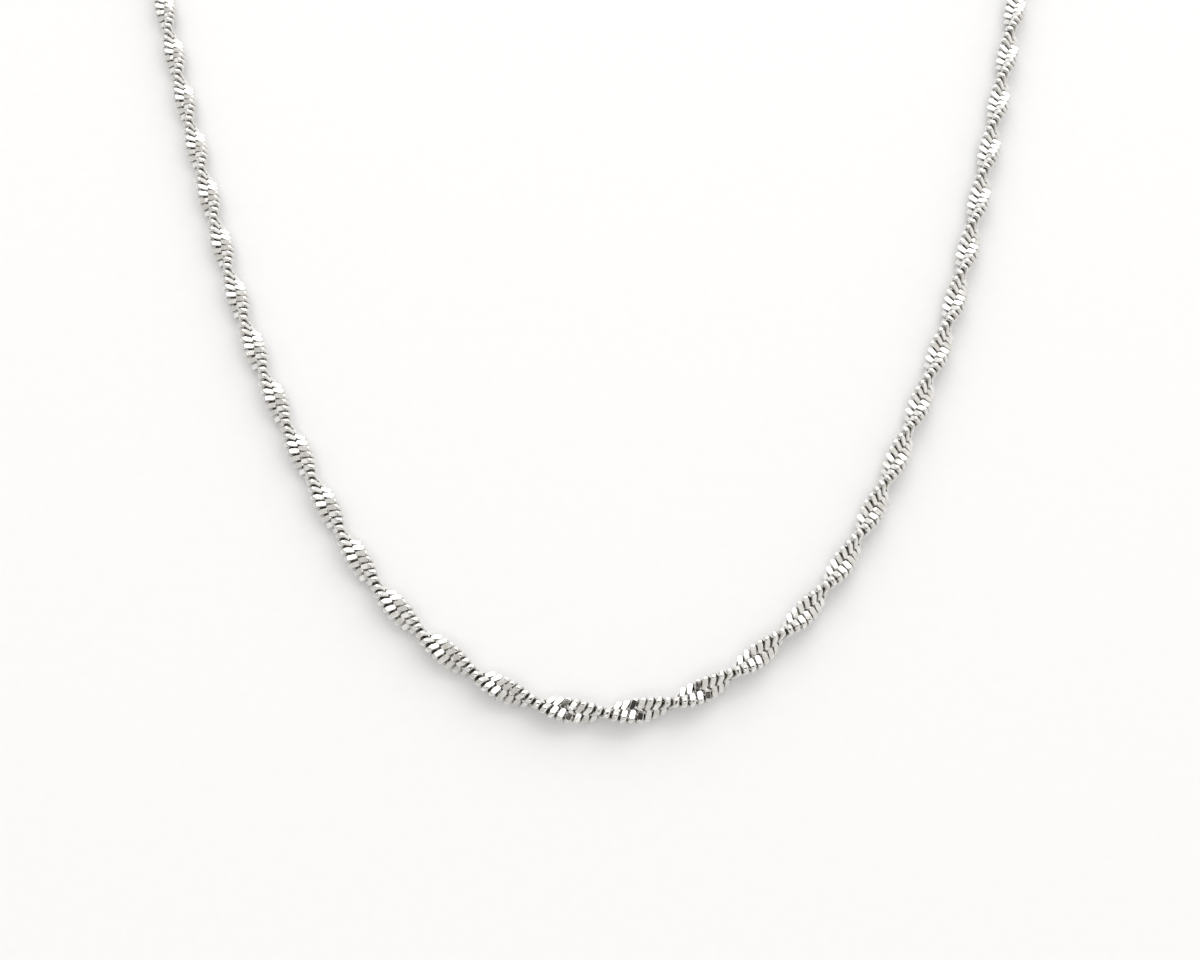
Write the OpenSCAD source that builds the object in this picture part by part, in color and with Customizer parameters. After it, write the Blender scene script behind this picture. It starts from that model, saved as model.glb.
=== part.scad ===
// Twisted curb-chain necklace, closed by its clasp and lying on a flat surface.
// Origin: middle of the outline, on the surface. +X is to the right, +Y runs from
// the front of the loop to the clasp, +Z is up. Millimetres and degrees.

/* [Necklace] */

// Length of the whole closed loop along the middle of the chain
loop_l = 450; // [400:5:500]

/* [Chain] */

// Width of the twisted ribbon of links
chain_w = 2; // [1.8:0.1:2.2]
// Thickness of the ribbon of links
chain_t = 0.85; // [0.7:0.05:1]
// Length of chain in which the ribbon makes half a turn
half_twist = 5.5; // [4.5:0.1:7]
// Turn of the ribbon away from upright at the front centre, in degrees
front_turn = 26; // [0:1:179]

/* [End caps] */

// Depth to which the chain goes into its cap
socket_l = 2; // [1.6:0.1:2.2]
// Thickness of the wall round the socket
cap_wall = 0.25; // [0.2:0.05:0.35]
// Width of the eyes, middle to middle of the wire
eye_d = 2; // [1.95:0.05:2.05]
// Thickness of the wire of the eyes
eye_wire = 0.5; // [0.4:0.05:0.5]

/* [Rings] */

// Width of the rings, middle to middle of the wire
ring_d = 3; // [2.95:0.05:3.1]
// Thickness of the wire of the rings
ring_wire = 0.55; // [0.45:0.05:0.55]
// Slope of the rings against the surface, in degrees
ring_tilt = 65; // [60:1:70]

/* [Clasp] */

// Length of the clasp, from the middle of its tail bar to the middle of its tip
clasp_l = 11; // [10:0.5:13]
// Thickness of the clasp's body
clasp_t = 2.4; // [2.35:0.05:2.5]

/* [Hidden] */

steel = [0.80, 0.80, 0.79];

// Clear space round the chain in its socket
socket_gap = 0.13;
// Thickness of the closed end of a cap
cap_floor = 0.8;
// Depth to which an eye is sunk into its cap
eye_sink = 0.12;
// Widths of the bevels at the closed end and at the mouth of a cap
cap_bevel = 0.45;
lip_bevel = 0.12;
// From a clasp bar to the middle of its ring, and to the middle of the next eye
ring_step = 0.15;
eye_step = 1.85;
// Distance of the rings behind the middle of the chain
ring_back = 0.15;
// Stretch of chain over which it lifts off the surface to its cap
lift_l = 14;

// Half the loop, front centre to back centre, as control points of a smooth curve
route = [[0, -0.5], [8, 1], [18, 9], [24, 19.5], [31, 34.5], [35.5, 50], [39.5, 64],
    [42.5, 77], [45.5, 91], [48.5, 106], [50.5, 121], [50.5, 134.5], [47.5, 148.5],
    [41.5, 160], [33.5, 168.5], [25.5, 174], [18, 176], [14, 176], [10, 176],
    [5, 176], [0, 176]];
route_n = len(route);
spans = route_n - 1;
// The same with one mirrored point before it and one after it
posts = concat(
    [[-route[1][0], route[1][1]]],
    route,
    [[-route[route_n - 2][0], route[route_n - 2][1]]]
);

// Point and direction of the curve at a share t of the span after post k
function mix_at(k, t) =
    (pow(1 - t, 3) * posts[k]
        + (3 * pow(t, 3) - 6 * pow(t, 2) + 4) * posts[k + 1]
        + (-3 * pow(t, 3) + 3 * pow(t, 2) + 3 * t + 1) * posts[k + 2]
        + pow(t, 3) * posts[k + 3]) / 6;
function slope_at(k, t) =
    (-pow(1 - t, 2) * posts[k]
        + (3 * pow(t, 2) - 4 * t) * posts[k + 1]
        + (-3 * pow(t, 2) + 2 * t + 1) * posts[k + 2]
        + pow(t, 2) * posts[k + 3]) / 2;
function span_of(u) = min(floor(u), spans - 1);
function spot(u) = mix_at(span_of(u), u - span_of(u));
function slope(u) = slope_at(span_of(u), u - span_of(u));

// Table from length along the curve to place on it
fine = 24;
marks = spans * fine;
spots = [for (i = [0 : marks]) spot(i / fine)];
gaps = [for (i = [1 : marks]) norm(spots[i] - spots[i - 1])];
runs = [for (run = 0, i = 0; i <= marks; run = run + (i < marks ? gaps[i] : 0), i = i + 1) run];
route_k = loop_l / 2 / runs[marks];
table = [for (i = [0 : marks]) [runs[i] * route_k, i / fine]];

// Middle of the chain at length s from the front centre, to the right when positive
function side(s) = s < 0 ? -1 : 1;
function plan(s) = let (p = route_k * spot(lookup(abs(s), table))) [side(s) * p[0], p[1]];
function heading(s) = let (g = slope(lookup(abs(s), table))) [g[0], side(s) * g[1]] / norm(g);

// Places along the back, counted from the back centre
hook_x = clasp_l / 2;
ring_x = hook_x + ring_step;
eye_x = hook_x + eye_step;
cap_x = eye_x + eye_d / 2 - eye_sink + cap_floor;
chain_half = loop_l / 2 - cap_x;
back_y = plan(loop_l / 2)[1];

// Section of the ribbon: across the width, then across the thickness
half_w = chain_w / 2;
half_t = chain_t / 2;
edge_t = 0.2 * chain_t;
shoulder_w = 0.72 * half_w;
waist_t = 0.88 * half_t;
section = [
    [half_w, edge_t], [shoulder_w, half_t], [0, waist_t], [-shoulder_w, half_t],
    [-half_w, edge_t], [-half_w, -edge_t], [-shoulder_w, -half_t], [0, -waist_t],
    [shoulder_w, -half_t], [half_w, -edge_t]
];
sides = len(section);

// Caps
socket_r = norm([half_w, edge_t]) + socket_gap;
cap_r = socket_r + cap_wall;

// Height and turn of the ribbon at length s
function ease(q) = q * q * (3 - 2 * q);
function lift(s) = ease(min(max((abs(s) - chain_half + lift_l) / (lift_l - socket_l), 0), 1));
function height(s) = half_w + (cap_r - half_w) * lift(s);
function turn(s) = front_turn + 180 * s / half_twist;

// One ring of corners of the ribbon
function loop_at(s) =
    let (
        p = plan(s),
        h = heading(s),
        across = [h[1], -h[0], 0],
        up = [0, 0, 1],
        wide = cos(turn(s)) * up + sin(turn(s)) * across,
        thick = cos(turn(s)) * across - sin(turn(s)) * up,
        middle = [p[0], p[1], height(s)]
    )
    [for (c = section) middle + c[0] * wide + c[1] * thick];

// Stations of the rings: every 30 degrees of turn, so one is upright in each half twist
turn_step = 30;
station = half_twist * turn_step / 180;
meet_s = -half_twist * (front_turn % turn_step) / 180;
// Least share of a station that is left before an end ring
end_share = 0.4;
count_right = floor((chain_half - meet_s) / station - end_share);
count_left = floor((chain_half + meet_s) / station - end_share);
stations_right = concat([for (i = [0 : count_right]) meet_s + i * station], [chain_half]);
stations_left = concat([-chain_half], [for (i = [-count_left : 0]) meet_s + i * station]);
corners_right = [for (s = stations_right) each loop_at(s)];
corners_left = [for (s = stations_left) each loop_at(s)];

// The loop's outline, whose middle is the origin
hook_r = 1.7;
arm_r = 0.6;
left_x = min([for (c = corners_left) c[0]]);
right_x = max([for (c = corners_right) c[0]]);
front_y = min([for (c = concat(corners_left, corners_right)) c[1]]);
far_y = back_y + hook_r + arm_r;
middle_x = (left_x + right_x) / 2;
middle_y = (front_y + far_y) / 2;

// Clasp, whose tip is thinner than its arms so that a ring passes under it
tip_r = 0.45;
tail_r = 0.35;
tail_d = 2.1;
tail_sink = 0.15;
body_r = clasp_t / 2;
hook_mid = hook_x - hook_r;
tail_mid = tail_d / 2 - hook_x;
neck_x = tail_mid + tail_d / 2 - tail_sink;
neck_r = 0.5;
// Its body: distances from the start of the neck, and radii as shares of the full one
neck_l = 0.3;
swell_l = 1;
swell_share = 0.82;
full_from = 2.1;
full_to = 3.2;
// The same counted back from the middle of the hook
taper_l = 1.7;
taper_share = 0.86;
nose_l = 1.25;
nose_share = 0.5;
knob_l = 2.6;
// Angles of the hook at which the thick arms start and end, on the spring side and the other
arm_start = 170;
arm_end = 62;
gate_end = -48;
blend_r = arm_r + 0.03;
gate_r = 0.55;
knob_r = 0.45;

module placed() {
    translate([-middle_x, -middle_y, 0])
        children();
}

module ribbon(corners) {
    rings = len(corners) / sides;
    last = (rings - 1) * sides;
    placed()
        polyhedron(
            points = corners,
            faces = concat(
                [[for (j = [0 : sides - 1]) j]],
                [for (i = [0 : rings - 2]) for (j = [0 : sides - 1])
                    let (a = i * sides + j, b = i * sides + (j + 1) % sides)
                    [a, a + sides, b]],
                [for (i = [0 : rings - 2]) for (j = [0 : sides - 1])
                    let (a = i * sides + j, b = i * sides + (j + 1) % sides)
                    [a + sides, b + sides, b]],
                [[for (j = [sides - 1 : -1 : 0]) last + j]]
            )
        );
}

module torus(mean_r, wire_r) {
    rotate_extrude($fn = 96)
        translate([mean_r, 0])
            circle(r = wire_r, $fn = 48);
}

module torus_part(mean_r, wire_r, from, to) {
    rotate([0, 0, from])
        rotate_extrude(angle = to - from, $fn = 96)
            translate([mean_r, 0])
                circle(r = wire_r, $fn = 48);
}

// A cap that points along +X, its socket's floor at the origin
module end_cap() {
    rotate([0, 90, 0])
        rotate_extrude($fn = 96)
            polygon([
                [0, -cap_floor], [cap_r - cap_bevel, -cap_floor],
                [cap_r, -cap_floor + cap_bevel], [cap_r, socket_l - lip_bevel],
                [cap_r - lip_bevel, socket_l], [socket_r, socket_l],
                [socket_r, 0], [0, 0]
            ]);
    translate([eye_x - cap_x, 0, 0])
        torus(eye_d / 2, eye_wire / 2);
}

// A ring whose lowest point is on the surface
module tilted_ring() {
    translate([0, 0, ring_d / 2 * sin(ring_tilt) + ring_wire / 2])
        rotate([ring_tilt, 0, 0])
            torus(ring_d / 2, ring_wire / 2);
}

// The clasp, its hook to the right
module hook_clasp() {
    translate([tail_mid, 0, 0])
        torus(tail_d / 2, tail_r);
    rotate([0, 90, 0])
        rotate_extrude($fn = 96)
            polygon([
                [0, neck_x], [neck_r, neck_x], [neck_r, neck_x + neck_l],
                [swell_share * body_r, neck_x + swell_l], [body_r, neck_x + full_from],
                [body_r, neck_x + full_to], [taper_share * body_r, hook_mid - taper_l],
                [nose_share * body_r, hook_mid - nose_l], [0, hook_mid - nose_l]
            ]);
    translate([hook_mid, 0, 0]) {
        torus(hook_r, tip_r);
        torus_part(hook_r, arm_r, arm_end, arm_start);
        torus_part(hook_r, gate_r, -arm_start, gate_end);
        rotate([0, 0, arm_end])
            translate([hook_r, 0, 0])
                sphere(r = blend_r, $fn = 64);
    }
    translate([hook_mid - knob_l, -body_r, 0])
        sphere(r = knob_r, $fn = 64);
}

module chain_left() {
    color(steel)
        ribbon(corners_left);
}

module chain_right() {
    color(steel)
        ribbon(corners_right);
}

module end_cap_left() {
    color(steel)
        placed()
            translate([-cap_x, back_y, cap_r])
                mirror([1, 0, 0])
                    end_cap();
}

module end_cap_right() {
    color(steel)
        placed()
            translate([cap_x, back_y, cap_r])
                end_cap();
}

module ring_left() {
    color(steel)
        placed()
            translate([-ring_x, back_y + ring_back, 0])
                tilted_ring();
}

module ring_right() {
    color(steel)
        placed()
            translate([ring_x, back_y + ring_back, 0])
                tilted_ring();
}

module clasp() {
    color(steel)
        placed()
            translate([0, back_y, body_r])
                hook_clasp();
}

chain_left();
chain_right();
end_cap_left();
end_cap_right();
ring_left();
ring_right();
clasp();
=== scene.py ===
"""Twisted curb-chain necklace, lying closed on a white table.

The chain is made here link by link, on the same route as its solids in the frame. The caps,
rings and clasp keep their solids and get their finish here. Lengths of the necklace and of
the camera's place are in millimetres, and those of the table and the lights in metres.
"""

import math

import bpy
import numpy as np
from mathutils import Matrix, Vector


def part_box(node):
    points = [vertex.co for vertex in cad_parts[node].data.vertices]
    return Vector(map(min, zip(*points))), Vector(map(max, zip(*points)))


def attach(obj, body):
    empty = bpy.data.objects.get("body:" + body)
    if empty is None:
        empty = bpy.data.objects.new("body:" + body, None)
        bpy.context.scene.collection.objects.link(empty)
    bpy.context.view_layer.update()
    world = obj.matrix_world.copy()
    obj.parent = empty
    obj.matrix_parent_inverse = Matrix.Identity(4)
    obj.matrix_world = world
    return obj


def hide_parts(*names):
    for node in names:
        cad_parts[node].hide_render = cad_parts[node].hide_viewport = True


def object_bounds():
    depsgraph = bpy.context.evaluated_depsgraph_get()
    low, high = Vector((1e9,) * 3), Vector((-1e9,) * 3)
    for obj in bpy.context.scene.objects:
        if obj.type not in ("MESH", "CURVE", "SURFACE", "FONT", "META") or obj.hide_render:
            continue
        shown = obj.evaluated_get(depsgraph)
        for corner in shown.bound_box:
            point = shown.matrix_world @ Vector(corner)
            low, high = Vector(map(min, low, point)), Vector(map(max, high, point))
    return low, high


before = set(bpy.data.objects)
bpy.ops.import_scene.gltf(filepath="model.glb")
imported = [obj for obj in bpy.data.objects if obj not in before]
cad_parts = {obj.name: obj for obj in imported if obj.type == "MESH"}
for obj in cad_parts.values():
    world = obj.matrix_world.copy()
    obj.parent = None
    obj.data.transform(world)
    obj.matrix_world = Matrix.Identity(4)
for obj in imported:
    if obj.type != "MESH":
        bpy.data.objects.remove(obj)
solid_box = [list(corner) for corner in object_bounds()]

MM = 0.001
SCENE = bpy.context.scene
UP = np.array([0, 0, 1.0])

# ---- Sizes of the necklace, as in the part's source ----

LOOP_LENGTH = 450.0
RIBBON_WIDTH = 2.0
RIBBON_THICKNESS = 0.85
RIBBON_EDGE_SHARE = 0.2
HALF_TWIST = 5.5
FRONT_TURN = 26.0
HOOK_HALF = 5.5
HOOK_RADIUS = 1.7
HOOK_ARM = 0.6
EYE_STEP = 1.85
EYE_WIDTH = 2.0
EYE_SINK = 0.12
CAP_FLOOR = 0.8
CAP_WALL = 0.25
SOCKET_DEPTH = 2.0
SOCKET_GAP = 0.13
LIFT_LENGTH = 14.0

# Half of the loop from the front centre to the back centre, as control points
ROUTE = [
    (0, -0.5), (8, 1), (18, 9), (24, 19.5), (31, 34.5), (35.5, 50), (39.5, 64),
    (42.5, 77), (45.5, 91), (48.5, 106), (50.5, 121), (50.5, 134.5), (47.5, 148.5),
    (41.5, 160), (33.5, 168.5), (25.5, 174), (18, 176), (14, 176), (10, 176),
    (5, 176), (0, 176),
]
STEPS_PER_SPAN = 24

# ---- Sizes of one link ----

LINKS_PER_HALF_TWIST = 9
LINK_PITCH = HALF_TWIST / LINKS_PER_HALF_TWIST
# The place of the first link of the right half, from the front centre
FIRST_LINK = -0.786
# The wire's middle line: its reach across and out of the face, and where its long and its
# short bars start and end along the chain
BAR_OUT = 0.2
BEND_ACROSS = 0.85
BAR_ACROSS = 0.07
LONG_BAR = (-0.03, -0.54)
SHORT_BAR = (0.05, 0.32)
DIVE_OUT = 0.06
# How far its bends reach into the bars, the stretches round the edges and the dives, and
# how long the cut narrows towards the ends of a bar
BAR_ROUND, EDGE_ROUND, DIVE_ROUND = 0.08, 0.22, 0.1
CUT_END = 0.13
# Half its thickness, and half its width at the edges and the inner ends of the long and of
# the short bars, and where it dives through the ribbon
WIRE_BACK = 0.155
LONG_EDGE, LONG_INNER = 0.235, 0.205
SHORT_EDGE, SHORT_INNER = 0.24, 0.225
WIRE_AT_DIVE = 0.12
# Its outline, as shares of its thickness and width: cut flat on the bars, round in the
# bends, and half-way between them at the ends of the bars
CUT_OUTLINE = (
    (1.0, -0.84), (1.0, 0.84), (0.74, 1.0), (-0.6, 1.0),
    (-1.0, 0.7), (-1.0, -0.7), (-0.6, -1.0), (0.74, -1.0),
)
ROUND_OUTLINE = (
    (1.0, -0.41), (1.0, 0.41), (0.41, 1.0), (-0.41, 1.0),
    (-1.0, 0.41), (-1.0, -0.41), (-0.41, -1.0), (0.41, -1.0),
)
ROUND_AT_BAR_END = 0.5
# Posts of the middle line: along the chain, across it and out of its face, half the width
# there, rings in the bend, and the side of the link that the stretch to the next post is on
LINK_POSTS = (
    (LONG_BAR[0], BEND_ACROSS, BAR_OUT, LONG_EDGE, 4, (0, 0, 1)),
    (LONG_BAR[1], BAR_ACROSS, BAR_OUT, LONG_INNER, 2, (-1, 0, 0)),
    (LONG_BAR[1] - DIVE_OUT, 0, 0, WIRE_AT_DIVE, 1, (-1, 0, 0)),
    (LONG_BAR[1], -BAR_ACROSS, -BAR_OUT, LONG_INNER, 2, (0, 0, -1)),
    (LONG_BAR[0], -BEND_ACROSS, -BAR_OUT, LONG_EDGE, 4, (0, -1, 0)),
    (SHORT_BAR[0], -BEND_ACROSS, BAR_OUT, SHORT_EDGE, 4, (0, 0, 1)),
    (SHORT_BAR[1], -BAR_ACROSS, BAR_OUT, SHORT_INNER, 2, (1, 0, 0)),
    (SHORT_BAR[1] + DIVE_OUT, 0, 0, WIRE_AT_DIVE, 1, (1, 0, 0)),
    (SHORT_BAR[1], BAR_ACROSS, -BAR_OUT, SHORT_INNER, 2, (0, 0, -1)),
    (SHORT_BAR[0], BEND_ACROSS, -BAR_OUT, SHORT_EDGE, 4, (0, 1, 0)),
)
# How deep below the faces and edges the painted shade for the light lost between the links
# starts, and over what depth it deepens
SHADE_DEPTH_FROM, SHADE_DEPTH_FADE = 0.04, 0.18
# How far loose links lie off the even twist, as slopes: round the chain's length, across
# its width and in its plane
LOOSE_TURN, LOOSE_LEAN, LOOSE_SWING = 0.045, 0.045, 0.02
LEFT_SEED, RIGHT_SEED = 3, 8

# ---- Tones and sizes of the finishes ----

CHAIN_BRIGHT = (0.9, 0.895, 0.88, 1)
CHAIN_DULL = (0.76, 0.745, 0.71, 1)
# Painted shade: the dark tone painted between the links, where less light reaches
CHAIN_SHADE_TONE = (0.40, 0.385, 0.365, 1)
FITTING_BRIGHT = (0.84, 0.83, 0.81, 1)
FITTING_DULL = (0.62, 0.61, 0.58, 1)
SMOOTHEST = 0.05
MARK_DETAIL, CLOUD_DETAIL = 4, 2
MARK_TWIST = 1.5
MARK_RELIEF_SHARE = 0.2
TABLE_TONES = (0.88, 0.888, 0.905, 1), (0.905, 0.913, 0.93, 1)
TABLE_ROUGHNESS = 0.6
TABLE_GRAIN = 900
LENS_BLACK = (0.012, 0.008, 0.007, 1)

# ---- Table, lights and camera ----

TABLE_HALF = 1.5
LIGHT_AIM = (0, -0.08, 0)
BACK_BOX_PLACE, BACK_BOX_SIZE, BACK_BOX_POWER = (0.05, 0.75, 0.62), (1.3, 0.95), 6
FRONT_BOX_PLACE, FRONT_BOX_SIZE, FRONT_BOX_POWER = (0.0, -0.62, 0.75), (0.34, 0.26), 0.7
ROOM_TONE = (1.0, 0.975, 0.94, 1)
ROOM_LEVEL = 0.76
ROOM_LEAN = (0.12, 0.1, 0.04)
CAMERA_PLACE = (-1.45, -35.7, 129.4)
CAMERA_HEADING = math.radians(1.2)
CAMERA_DROP = math.radians(66.5)
CAMERA_LENS, CAMERA_SENSOR = 50, 36
CAMERA_NEAR, CAMERA_FAR = 0.005, 20
# The camera's dark front: half its width and height, how far it reaches to the right, how
# far behind the camera it stands, and the step round its outline
FRONT_HALF = (62.0, 46.0)
FRONT_RIGHT = 16.0
FRONT_BEHIND = 3
FRONT_STEP = 10


class Loop:
    """The middle line of the chain: places and directions along it."""

    def __init__(self):
        route = np.array(ROUTE, float)
        before, after = route[1] * (-1, 1), route[-2] * (-1, 1)
        self.posts = np.vstack([before, route, after])
        self.spans = len(route) - 1
        self.share = np.arange(self.spans * STEPS_PER_SPAN + 1) / STEPS_PER_SPAN
        steps = np.linalg.norm(np.diff(self._mix(self.share), axis=0), axis=1)
        runs = np.concatenate([[0], np.cumsum(steps)])
        self.scale = LOOP_LENGTH / 2 / runs[-1]
        self.runs = runs * self.scale

    def _span(self, share):
        first = np.minimum(np.floor(share).astype(int), self.spans - 1)
        return first, (share - first)[:, None]

    def _mix(self, share):
        k, t = self._span(share)
        p = self.posts
        return (
            (1 - t) ** 3 * p[k]
            + (3 * t**3 - 6 * t**2 + 4) * p[k + 1]
            + (-3 * t**3 + 3 * t**2 + 3 * t + 1) * p[k + 2]
            + t**3 * p[k + 3]
        ) / 6

    def _slope(self, share):
        k, t = self._span(share)
        p = self.posts
        return (
            -((1 - t) ** 2) * p[k]
            + (3 * t**2 - 4 * t) * p[k + 1]
            + (-3 * t**2 + 2 * t + 1) * p[k + 2]
            + t**2 * p[k + 3]
        ) / 2

    def place(self, s):
        """Points of the middle line in plan, s from the front centre, right positive."""
        xy = self.scale * self._mix(np.interp(np.abs(s), self.runs, self.share))
        xy[:, 0] *= np.where(s < 0, -1, 1)
        return xy

    def heading(self, s):
        """Unit directions of the middle line in plan, towards growing s."""
        d = self._slope(np.interp(np.abs(s), self.runs, self.share))
        d /= np.linalg.norm(d, axis=1)[:, None]
        d[:, 1] *= np.where(s < 0, -1, 1)
        return d


loop = Loop()
cap_place = HOOK_HALF + EYE_STEP + EYE_WIDTH / 2 - EYE_SINK + CAP_FLOOR
chain_half = LOOP_LENGTH / 2 - cap_place
ribbon_reach = math.hypot(RIBBON_WIDTH / 2, RIBBON_EDGE_SHARE * RIBBON_THICKNESS)
cap_radius = ribbon_reach + SOCKET_GAP + CAP_WALL

# The route's own origin is at the front centre; the frame's is the middle of the outline.
back_reach = loop.place(np.array([LOOP_LENGTH / 2]))[0, 1] + HOOK_RADIUS + HOOK_ARM
left_cap, right_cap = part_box("end_cap_left"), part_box("end_cap_right")
shift = np.array([
    (left_cap[0][0] + right_cap[1][0]) / 2 / MM,
    solid_box[1][1] / MM - back_reach,
])


def axis_height(s):
    """Height of the middle line: on the table, and lifted to the caps near its ends."""
    q = (np.abs(s) - chain_half + LIFT_LENGTH) / (LIFT_LENGTH - SOCKET_DEPTH)
    q = np.clip(q, 0, 1)
    return RIBBON_WIDTH / 2 + (cap_radius - RIBBON_WIDTH / 2) * q * q * (3 - 2 * q)


# ---- The chain ----


def unit(rows):
    return rows / np.linalg.norm(rows, axis=-1, keepdims=True)


def link_shape():
    """Corners of one link in its own frame: along the chain, across its width, and out.

    The wire runs in a flattened figure of eight: two bars on the front and two on the back,
    cut flat, which join round the edges and through the middle of the ribbon. The second
    result says which of its rings lie on a bar.
    """
    places = np.array([post[:3] for post in LINK_POSTS], float)
    sides = np.array([post[5] for post in LINK_POSTS], float)
    rounds = np.abs(sides) @ (DIVE_ROUND, EDGE_ROUND, BAR_ROUND)
    middle, face, half_wire, roundness = [], [], [], []

    def ring(spot, side, half, round_share):
        middle.append(spot)
        face.append(side)
        half_wire.append(half)
        roundness.append(round_share)

    for k, (place, post) in enumerate(zip(places, LINK_POSTS)):
        before, after = places[k - 1] - place, places[(k + 1) % len(places)] - place
        before_length, after_length = np.linalg.norm(before), np.linalg.norm(after)
        start = place + before * min(rounds[k - 1] / before_length, 0.5)
        end = place + after * min(rounds[k] / after_length, 0.5)
        if sides[k - 1][2]:
            ring(start + before * CUT_END / before_length, sides[k - 1], post[3], 0)
        for t in np.linspace(0, 1, post[4]) if post[4] > 1 else (0.5,):
            spot = (1 - t) ** 2 * start + 2 * t * (1 - t) * place + t * t * end
            side = unit((1 - t) * sides[k - 1] + t * sides[k])
            ring(spot, side, post[3], 1 - (1 - ROUND_AT_BAR_END) * abs(side[2]))
        if sides[k][2]:
            ring(end + after * CUT_END / after_length, sides[k], post[3], 0)
    middle, face, half_wire = np.array(middle), np.array(face), np.array(half_wire)
    roundness = np.array(roundness)
    ahead = unit(np.roll(middle, -1, 0) - np.roll(middle, 1, 0))
    blend = roundness[:, None, None]
    outline = (1 - blend) * np.array(CUT_OUTLINE) + blend * np.array(ROUND_OUTLINE)
    face = unit(face - ahead * np.sum(face * ahead, 1, keepdims=True))
    across = np.cross(ahead, face)
    corners = (
        middle[:, None]
        + WIRE_BACK * outline[..., 0:1] * face[:, None]
        + half_wire[:, None, None] * outline[..., 1:2] * across[:, None]
    )
    return corners, roundness <= ROUND_AT_BAR_END


LINK, LINK_ON_BAR = link_shape()


def link_faces(count):
    """Quads of count links whose corners follow each other, and whether each is smooth."""
    rings, corners = LINK.shape[:2]
    i = np.arange(rings)[:, None]
    j = np.arange(corners)[None, :]
    next_i, next_j = (i + 1) % rings, (j + 1) % corners
    quads = np.stack([
        i * corners + j,
        i * corners + next_j,
        next_i * corners + next_j,
        next_i * corners + j,
    ], -1).reshape(-1, 4)
    smooth = np.ones((rings, corners), bool)
    smooth[LINK_ON_BAR & np.roll(LINK_ON_BAR, -1), 0] = False
    starts = (np.arange(count) * rings * corners)[:, None, None]
    return (quads[None] + starts).reshape(-1, 4), np.tile(smooth.ravel(), count)


def link_shade_shares():
    """Share of painted shade at each corner of a link: how far it lies between its
    neighbours, out of the light.
    """
    across, out = np.abs(LINK[..., 1]), np.abs(LINK[..., 2])
    below = np.minimum(BAR_OUT + WIRE_BACK - out, RIBBON_WIDTH / 2 - across)
    return np.clip((below - SHADE_DEPTH_FROM) / SHADE_DEPTH_FADE, 0, 1).ravel()


def mesh_piece(name, corners, faces, finish):
    """An object from its corners, in millimetres, and its faces."""
    mesh = bpy.data.meshes.new(name)
    mesh.from_pydata((np.asarray(corners) * MM).tolist(), [], faces)
    mesh.materials.append(finish)
    piece = bpy.data.objects.new(name, mesh)
    SCENE.collection.objects.link(piece)
    return piece


def links_along(name, stations, finish, seed):
    """One half of the chain: a link at each station, turned with the twist."""
    count = len(stations)
    turn = np.radians(FRONT_TURN + 180 * stations / HALF_TWIST)[:, None]
    heading = loop.heading(stations)
    ahead = np.column_stack([heading, np.zeros(count)])
    level = np.column_stack([heading[:, 1], -heading[:, 0], np.zeros(count)])
    wide = np.cos(turn) * UP + np.sin(turn) * level
    thick = np.cos(turn) * level - np.sin(turn) * UP
    loose = np.random.default_rng(seed).uniform(-1, 1, (count, 3, 1))
    loose = loose * np.array([LOOSE_TURN, LOOSE_LEAN, LOOSE_SWING])[:, None]
    ahead = unit(ahead + loose[:, 1] * thick + loose[:, 2] * wide)
    wide = wide + loose[:, 0] * thick
    wide = unit(wide - np.sum(wide * ahead, 1, keepdims=True) * ahead)
    thick = np.cross(ahead, wide)
    middle = np.column_stack([loop.place(stations) + shift, axis_height(stations)])
    shape = LINK.reshape(-1, 3)
    corners = (
        middle[:, None]
        + shape[None, :, 0:1] * ahead[:, None]
        + shape[None, :, 1:2] * wide[:, None]
        + shape[None, :, 2:3] * thick[:, None]
    )
    faces, smooth = link_faces(count)
    links = mesh_piece(name, corners.reshape(-1, 3), faces.tolist(), finish)
    links.data.polygons.foreach_set("use_smooth", smooth.tolist())
    links.data.update()
    # Each corner's share of painted shade, read by the chain's finish
    painted_shade = links.data.attributes.new("painted_shade", "FLOAT", "POINT")
    painted_shade.data.foreach_set("value", np.tile(link_shade_shares(), count))
    return links


# ---- Finishes ----


def node_material(name):
    """A new material, its nodes, its links and its own shader."""
    finish = bpy.data.materials.new(name)
    finish.use_nodes = True
    nodes, wires = finish.node_tree.nodes, finish.node_tree.links
    return finish, nodes, wires, nodes["Principled BSDF"]


def noise_over(nodes, wires, detail):
    """Fine noise fixed to the object."""
    place = nodes.new("ShaderNodeTexCoord")
    noise = nodes.new("ShaderNodeTexNoise")
    noise.inputs["Detail"].default_value = detail
    wires.new(place.outputs["Object"], noise.inputs["Vector"])
    return noise


def colour_mix(nodes):
    tone = nodes.new("ShaderNodeMix")
    tone.data_type = "RGBA"
    return tone


def stretched(nodes, wires, noise, low, high):
    """The noise between low and high, stretched over the whole range."""
    reach = nodes.new("ShaderNodeMapRange")
    reach.inputs["From Min"].default_value = low
    reach.inputs["From Max"].default_value = high
    wires.new(noise.outputs["Fac"], reach.inputs["Value"])
    return reach


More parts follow.
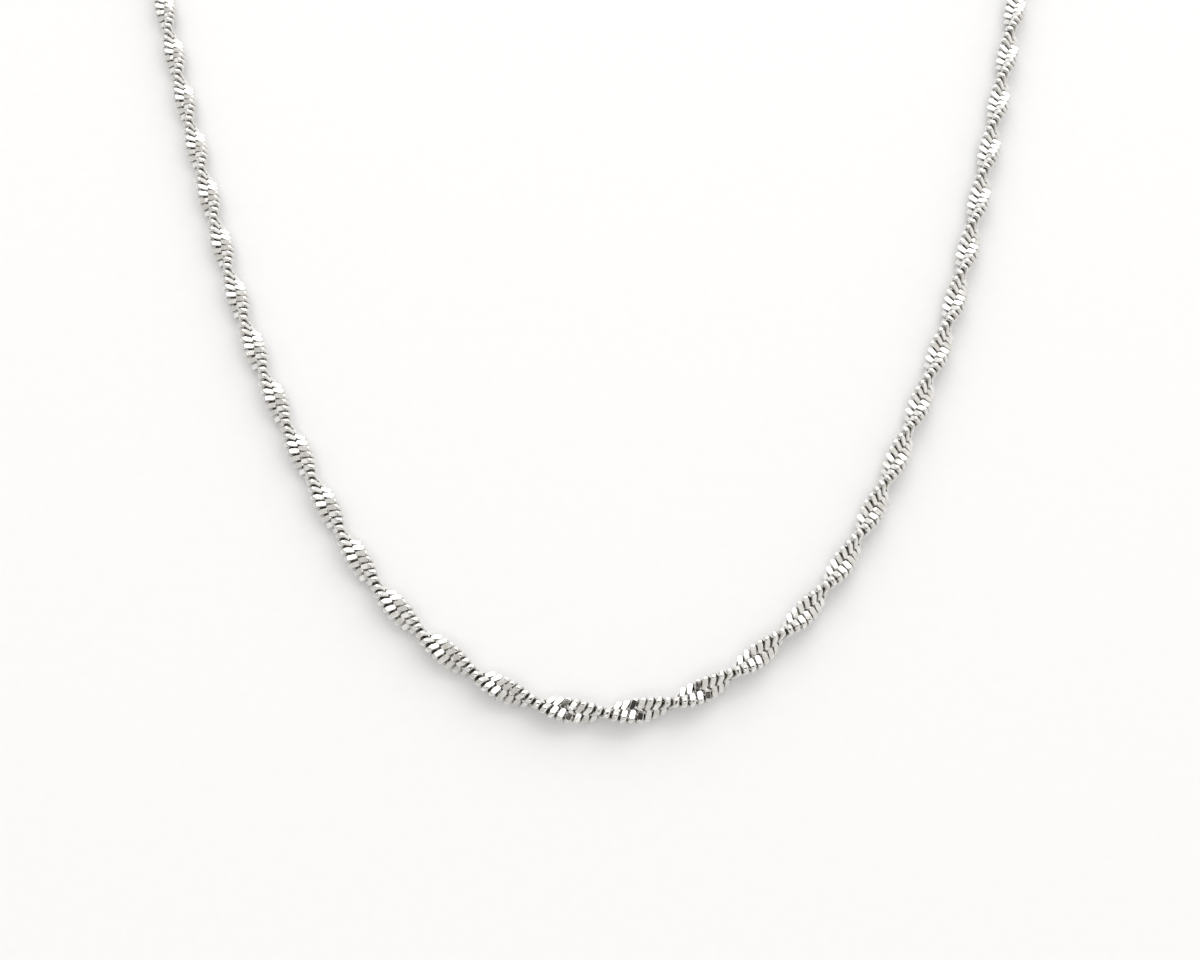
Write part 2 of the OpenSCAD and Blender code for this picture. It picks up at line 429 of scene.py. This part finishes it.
def polish_marks_group():
    """Bright polish with faint marks: tone, roughness and height change over the metal."""
    group = bpy.data.node_groups.new("polish_marks", "ShaderNodeTree")
    colour, number = "NodeSocketColor", "NodeSocketFloat"
    for name, side, kind in (
        ("Bright", "INPUT", colour), ("Dull", "INPUT", colour),
        ("Cloud Scale", "INPUT", number), ("Mark Scale", "INPUT", number),
        ("Smoothest", "INPUT", number), ("Roughest", "INPUT", number),
        ("Tone", "OUTPUT", colour), ("Roughness", "OUTPUT", number),
        ("Height", "OUTPUT", number),
    ):
        group.interface.new_socket(name, in_out=side, socket_type=kind)
    nodes, wires = group.nodes, group.links
    given = nodes.new("NodeGroupInput")
    made = nodes.new("NodeGroupOutput")
    clouds = noise_over(nodes, wires, CLOUD_DETAIL)
    marks = noise_over(nodes, wires, MARK_DETAIL)
    marks.inputs["Distortion"].default_value = MARK_TWIST
    dulling = stretched(nodes, wires, clouds, 0.4, 0.7)
    sheen = stretched(nodes, wires, marks, 0.35, 0.7)
    tone = colour_mix(nodes)
    relief = nodes.new("ShaderNodeMath")
    relief.operation = "MULTIPLY_ADD"
    relief.inputs[1].default_value = MARK_RELIEF_SHARE
    wires.new(given.outputs["Cloud Scale"], clouds.inputs["Scale"])
    wires.new(given.outputs["Mark Scale"], marks.inputs["Scale"])
    wires.new(dulling.outputs["Result"], tone.inputs["Factor"])
    wires.new(given.outputs["Bright"], tone.inputs["A"])
    wires.new(given.outputs["Dull"], tone.inputs["B"])
    wires.new(given.outputs["Smoothest"], sheen.inputs["To Min"])
    wires.new(given.outputs["Roughest"], sheen.inputs["To Max"])
    wires.new(marks.outputs["Fac"], relief.inputs[0])
    wires.new(clouds.outputs["Fac"], relief.inputs[2])
    wires.new(tone.outputs["Result"], made.inputs["Tone"])
    wires.new(sheen.outputs["Result"], made.inputs["Roughness"])
    wires.new(relief.outputs["Value"], made.inputs["Height"])
    return group


POLISH_MARKS = polish_marks_group()


def polished_steel(name, bright, dull, cloud_scale, mark_scale, roughest, relief):
    """Bright polished metal; relief is the height of its unevenness in metres."""
    finish, nodes, wires, shader = node_material(name)
    shader.inputs["Metallic"].default_value = 1
    marks = nodes.new("ShaderNodeGroup")
    marks.node_tree = POLISH_MARKS
    marks.name = "marks"
    marks.inputs["Bright"].default_value = bright
    marks.inputs["Dull"].default_value = dull
    marks.inputs["Cloud Scale"].default_value = cloud_scale
    marks.inputs["Mark Scale"].default_value = mark_scale
    marks.inputs["Smoothest"].default_value = SMOOTHEST
    marks.inputs["Roughest"].default_value = roughest
    uneven = nodes.new("ShaderNodeBump")
    uneven.inputs["Strength"].default_value = 1
    uneven.inputs["Distance"].default_value = relief
    wires.new(marks.outputs["Tone"], shader.inputs["Base Color"])
    wires.new(marks.outputs["Roughness"], shader.inputs["Roughness"])
    wires.new(marks.outputs["Height"], uneven.inputs["Height"])
    wires.new(uneven.outputs["Normal"], shader.inputs["Normal"])
    return finish


def paint_hollow_shade(finish):
    """Painted shade between the links: the tone falls towards the shade tone by each
    corner's share of painted shade.
    """
    nodes, wires = finish.node_tree.nodes, finish.node_tree.links
    depth = nodes.new("ShaderNodeAttribute")
    depth.attribute_name = "painted_shade"
    tone = colour_mix(nodes)
    tone.inputs["B"].default_value = CHAIN_SHADE_TONE
    wires.new(nodes["marks"].outputs["Tone"], tone.inputs["A"])
    wires.new(depth.outputs["Fac"], tone.inputs["Factor"])
    wires.new(tone.outputs["Result"], nodes["Principled BSDF"].inputs["Base Color"])


def white_board():
    """Matt white board with a faint grain."""
    finish, nodes, wires, shader = node_material("white_board")
    shader.inputs["Roughness"].default_value = TABLE_ROUGHNESS
    grain = noise_over(nodes, wires, 3)
    grain.inputs["Scale"].default_value = TABLE_GRAIN
    tone = colour_mix(nodes)
    tone.inputs["A"].default_value, tone.inputs["B"].default_value = TABLE_TONES
    wires.new(grain.outputs["Fac"], tone.inputs["Factor"])
    wires.new(tone.outputs["Result"], shader.inputs["Base Color"])
    return finish


chain_steel = polished_steel(
    "chain_steel", CHAIN_BRIGHT, CHAIN_DULL,
    cloud_scale=2200, mark_scale=16000, roughest=0.15, relief=6e-6,
)
# Shade between the links is painted into the chain's tone
paint_hollow_shade(chain_steel)
fitting_steel = polished_steel(
    "fitting_steel", FITTING_BRIGHT, FITTING_DULL,
    cloud_scale=700, mark_scale=7000, roughest=0.24, relief=1.5e-5,
)

# ---- The pieces ----

last_link = chain_half + LONG_BAR[1] - SHORT_EDGE
right_count = int((last_link - FIRST_LINK) / LINK_PITCH) + 1
left_count = int((last_link + FIRST_LINK) / LINK_PITCH)
right_stations = FIRST_LINK + LINK_PITCH * np.arange(right_count)
left_stations = FIRST_LINK - LINK_PITCH * np.arange(1, left_count + 1)

chain_links_left = links_along("chain_links_left", left_stations, chain_steel, LEFT_SEED)
chain_links_right = links_along("chain_links_right", right_stations, chain_steel, RIGHT_SEED)
for links, node in ((chain_links_left, "chain_left"), (chain_links_right, "chain_right")):
    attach(links, "root")
    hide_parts(node)

for node in ("end_cap_left", "end_cap_right", "ring_left", "ring_right", "clasp"):
    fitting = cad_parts[node]
    fitting.data.materials.clear()
    fitting.data.materials.append(fitting_steel)

# ---- Table, lights and camera ----


def soft_box(name, place, size, power):
    """A square light that faces the front of the chain."""
    lamp = bpy.data.lights.new(name, "AREA")
    lamp.shape = "RECTANGLE"
    lamp.size, lamp.size_y = size
    lamp.energy = power
    box = bpy.data.objects.new(name, lamp)
    box.location = place
    box.rotation_mode = "QUATERNION"
    box.rotation_quaternion = (Vector(LIGHT_AIM) - Vector(place)).to_track_quat("-Z", "Y")
    SCENE.collection.objects.link(box)


def camera_front_piece(place):
    """The dark front of the camera, which only the polished metal sees."""
    turns = np.radians(np.arange(0, 360, FRONT_STEP))
    right = np.array([1.0, 0, 0])
    back = np.array([0, -math.cos(CAMERA_DROP), math.sin(CAMERA_DROP)])
    up = np.array([0, math.sin(CAMERA_DROP), math.cos(CAMERA_DROP)])
    outline = (
        place
        + FRONT_BEHIND * back
        + (FRONT_RIGHT + FRONT_HALF[0] * np.cos(turns))[:, None] * right
        + FRONT_HALF[1] * np.sin(turns)[:, None] * up
    )
    finish, _, _, shader = node_material("black_front")
    shader.inputs["Base Color"].default_value = LENS_BLACK
    front = mesh_piece("camera_front", outline, [tuple(range(len(turns)))], finish)
    front.visible_camera = False
    front.visible_shadow = False
    front.visible_diffuse = False
    return front


def bright_room():
    """Even light from all round, a little stronger from the right and the back."""
    room = bpy.data.worlds.new("bright_room")
    SCENE.world = room
    room.use_nodes = True
    nodes, wires = room.node_tree.nodes, room.node_tree.links
    way = nodes.new("ShaderNodeTexCoord")
    lean = nodes.new("ShaderNodeVectorMath")
    lean.operation = "DOT_PRODUCT"
    lean.inputs[1].default_value = ROOM_LEAN
    level = nodes.new("ShaderNodeMath")
    level.operation = "ADD"
    level.inputs[1].default_value = ROOM_LEVEL
    wires.new(way.outputs["Generated"], lean.inputs[0])
    wires.new(lean.outputs["Value"], level.inputs[0])
    wires.new(level.outputs["Value"], nodes["Background"].inputs["Strength"])
    nodes["Background"].inputs["Color"].default_value = ROOM_TONE


def photo_camera(place):
    """The camera at the photograph's angle."""
    data = bpy.data.cameras.new("camera")
    data.lens, data.sensor_width = CAMERA_LENS, CAMERA_SENSOR
    data.clip_start, data.clip_end = CAMERA_NEAR, CAMERA_FAR
    camera = bpy.data.objects.new("camera", data)
    camera.location = place * MM
    camera.rotation_euler = (math.pi / 2 - CAMERA_DROP, 0, -CAMERA_HEADING)
    SCENE.collection.objects.link(camera)
    return camera


table_corners = np.array([(-1, -1, 0), (1, -1, 0), (1, 1, 0), (-1, 1, 0)])
table_top = mesh_piece(
    "table_top", table_corners * TABLE_HALF / MM, [(0, 1, 2, 3)], white_board()
)
soft_box("back_box", BACK_BOX_PLACE, BACK_BOX_SIZE, BACK_BOX_POWER)
soft_box("front_box", FRONT_BOX_PLACE, FRONT_BOX_SIZE, FRONT_BOX_POWER)
bright_room()
SCENE.view_settings.view_transform = "Standard"

camera_place = np.array(CAMERA_PLACE) + np.append(shift, 0)
camera_front = camera_front_piece(camera_place)
SCENE.camera = photo_camera(camera_place)
